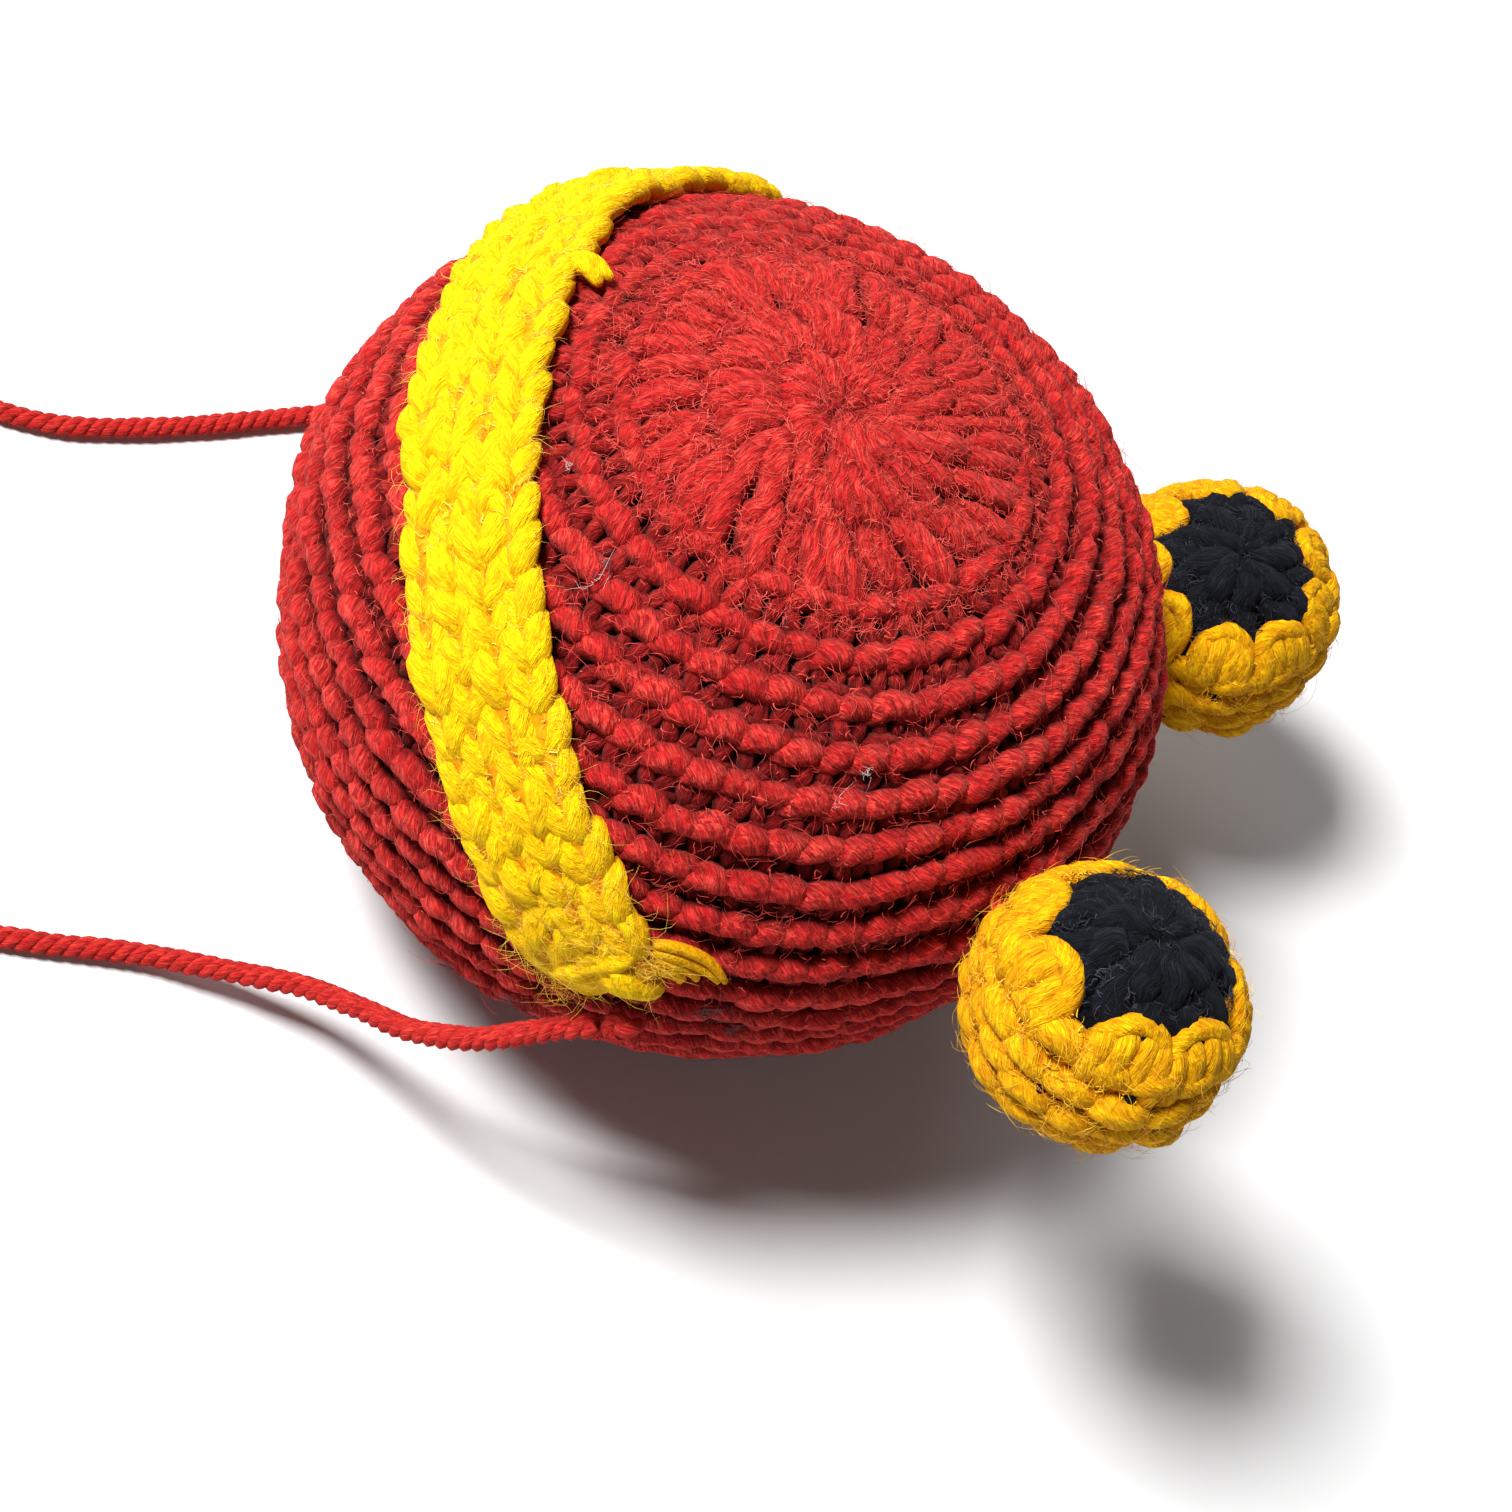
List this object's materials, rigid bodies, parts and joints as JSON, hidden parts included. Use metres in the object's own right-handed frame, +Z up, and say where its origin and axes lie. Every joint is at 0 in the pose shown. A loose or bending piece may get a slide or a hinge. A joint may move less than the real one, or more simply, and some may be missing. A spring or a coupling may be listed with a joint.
{
  "type": "juggling ball",
  "caption": "Crocheted filled juggling ball with a sewn band, small capped balls sewn to its side, and thin tie cords that end in coils.",
  "frame": {"origin": "centre of the flat face on the underside that the ball stands on", "axes": "+Z up through the crown where the crochet rounds start, +X towards the side that carries the small balls, -Y towards the side with the near small ball and the near cord"},
  "size_m": [0.1463, 0.0977, 0.0612],
  "materials": {
    "red_yarn": "matt acrylic crochet",
    "yellow_yarn": "matt acrylic crochet",
    "cup_yarn": "matt acrylic crochet",
    "black_yarn": "matt acrylic crochet",
    "cord_yarn": "crocheted chain",
    "pouch_cloth": "fine knit",
    "stuffing": "loose yarn ends",
    "grain": "dry seed filling"
  },
  "bodies": {
    "ball": {"main_cover": "red_yarn", "cover_closing": "red_yarn", "inner_pouch": "pouch_cloth", "main_filling": "grain", "yellow_band": "yellow_yarn", "band_tail_upper": "yellow_yarn", "band_tail_end": "yellow_yarn", "band_tail_corner": "yellow_yarn", "near_cord_anchor": "cord_yarn", "far_cord_anchor": "cord_yarn", "near_cord": "cord_yarn", "far_cord": "cord_yarn", "near_cord_coil": "cord_yarn", "far_cord_coil": "cord_yarn", "near_cord_knot": "cord_yarn", "far_cord_knot": "cord_yarn"},
    "near_shank": {"near_neck": "red_yarn"},
    "near_ball": {"near_cup": "cup_yarn", "near_core": "black_yarn", "near_core_stuffing": "stuffing"},
    "far_shank": {"far_neck": "red_yarn"},
    "far_ball": {"far_cup": "cup_yarn", "far_core": "black_yarn", "far_core_stuffing": "stuffing"}
  },
  "joints": [
    {"name": "near_ball_nod", "type": "hinge", "parent": "ball", "child": "near_shank", "pos_m": [0.02989, -0.02077, 0.04161], "axis": [0.5707, 0.8211, 0], "range_deg": [-18, 18], "stiffness_Nm_per_rad": 0.005},
    {"name": "near_ball_sway", "type": "hinge", "parent": "near_shank", "child": "near_ball", "pos_m": [0.02989, -0.02077, 0.04161], "axis": [-0.3199, 0.2223, 0.921], "range_deg": [-18, 18], "stiffness_Nm_per_rad": 0.005},
    {"name": "far_ball_nod", "type": "hinge", "parent": "ball", "child": "far_shank", "pos_m": [0.02944, 0.02409, 0.02671], "axis": [-0.6334, 0.7738, 0], "range_deg": [-18, 18], "stiffness_Nm_per_rad": 0.005},
    {"name": "far_ball_sway", "type": "hinge", "parent": "far_shank", "child": "far_ball", "pos_m": [0.02944, 0.02409, 0.02671], "axis": [0.0826, 0.0676, 0.9943], "range_deg": [-18, 18], "stiffness_Nm_per_rad": 0.005}
  ]
}
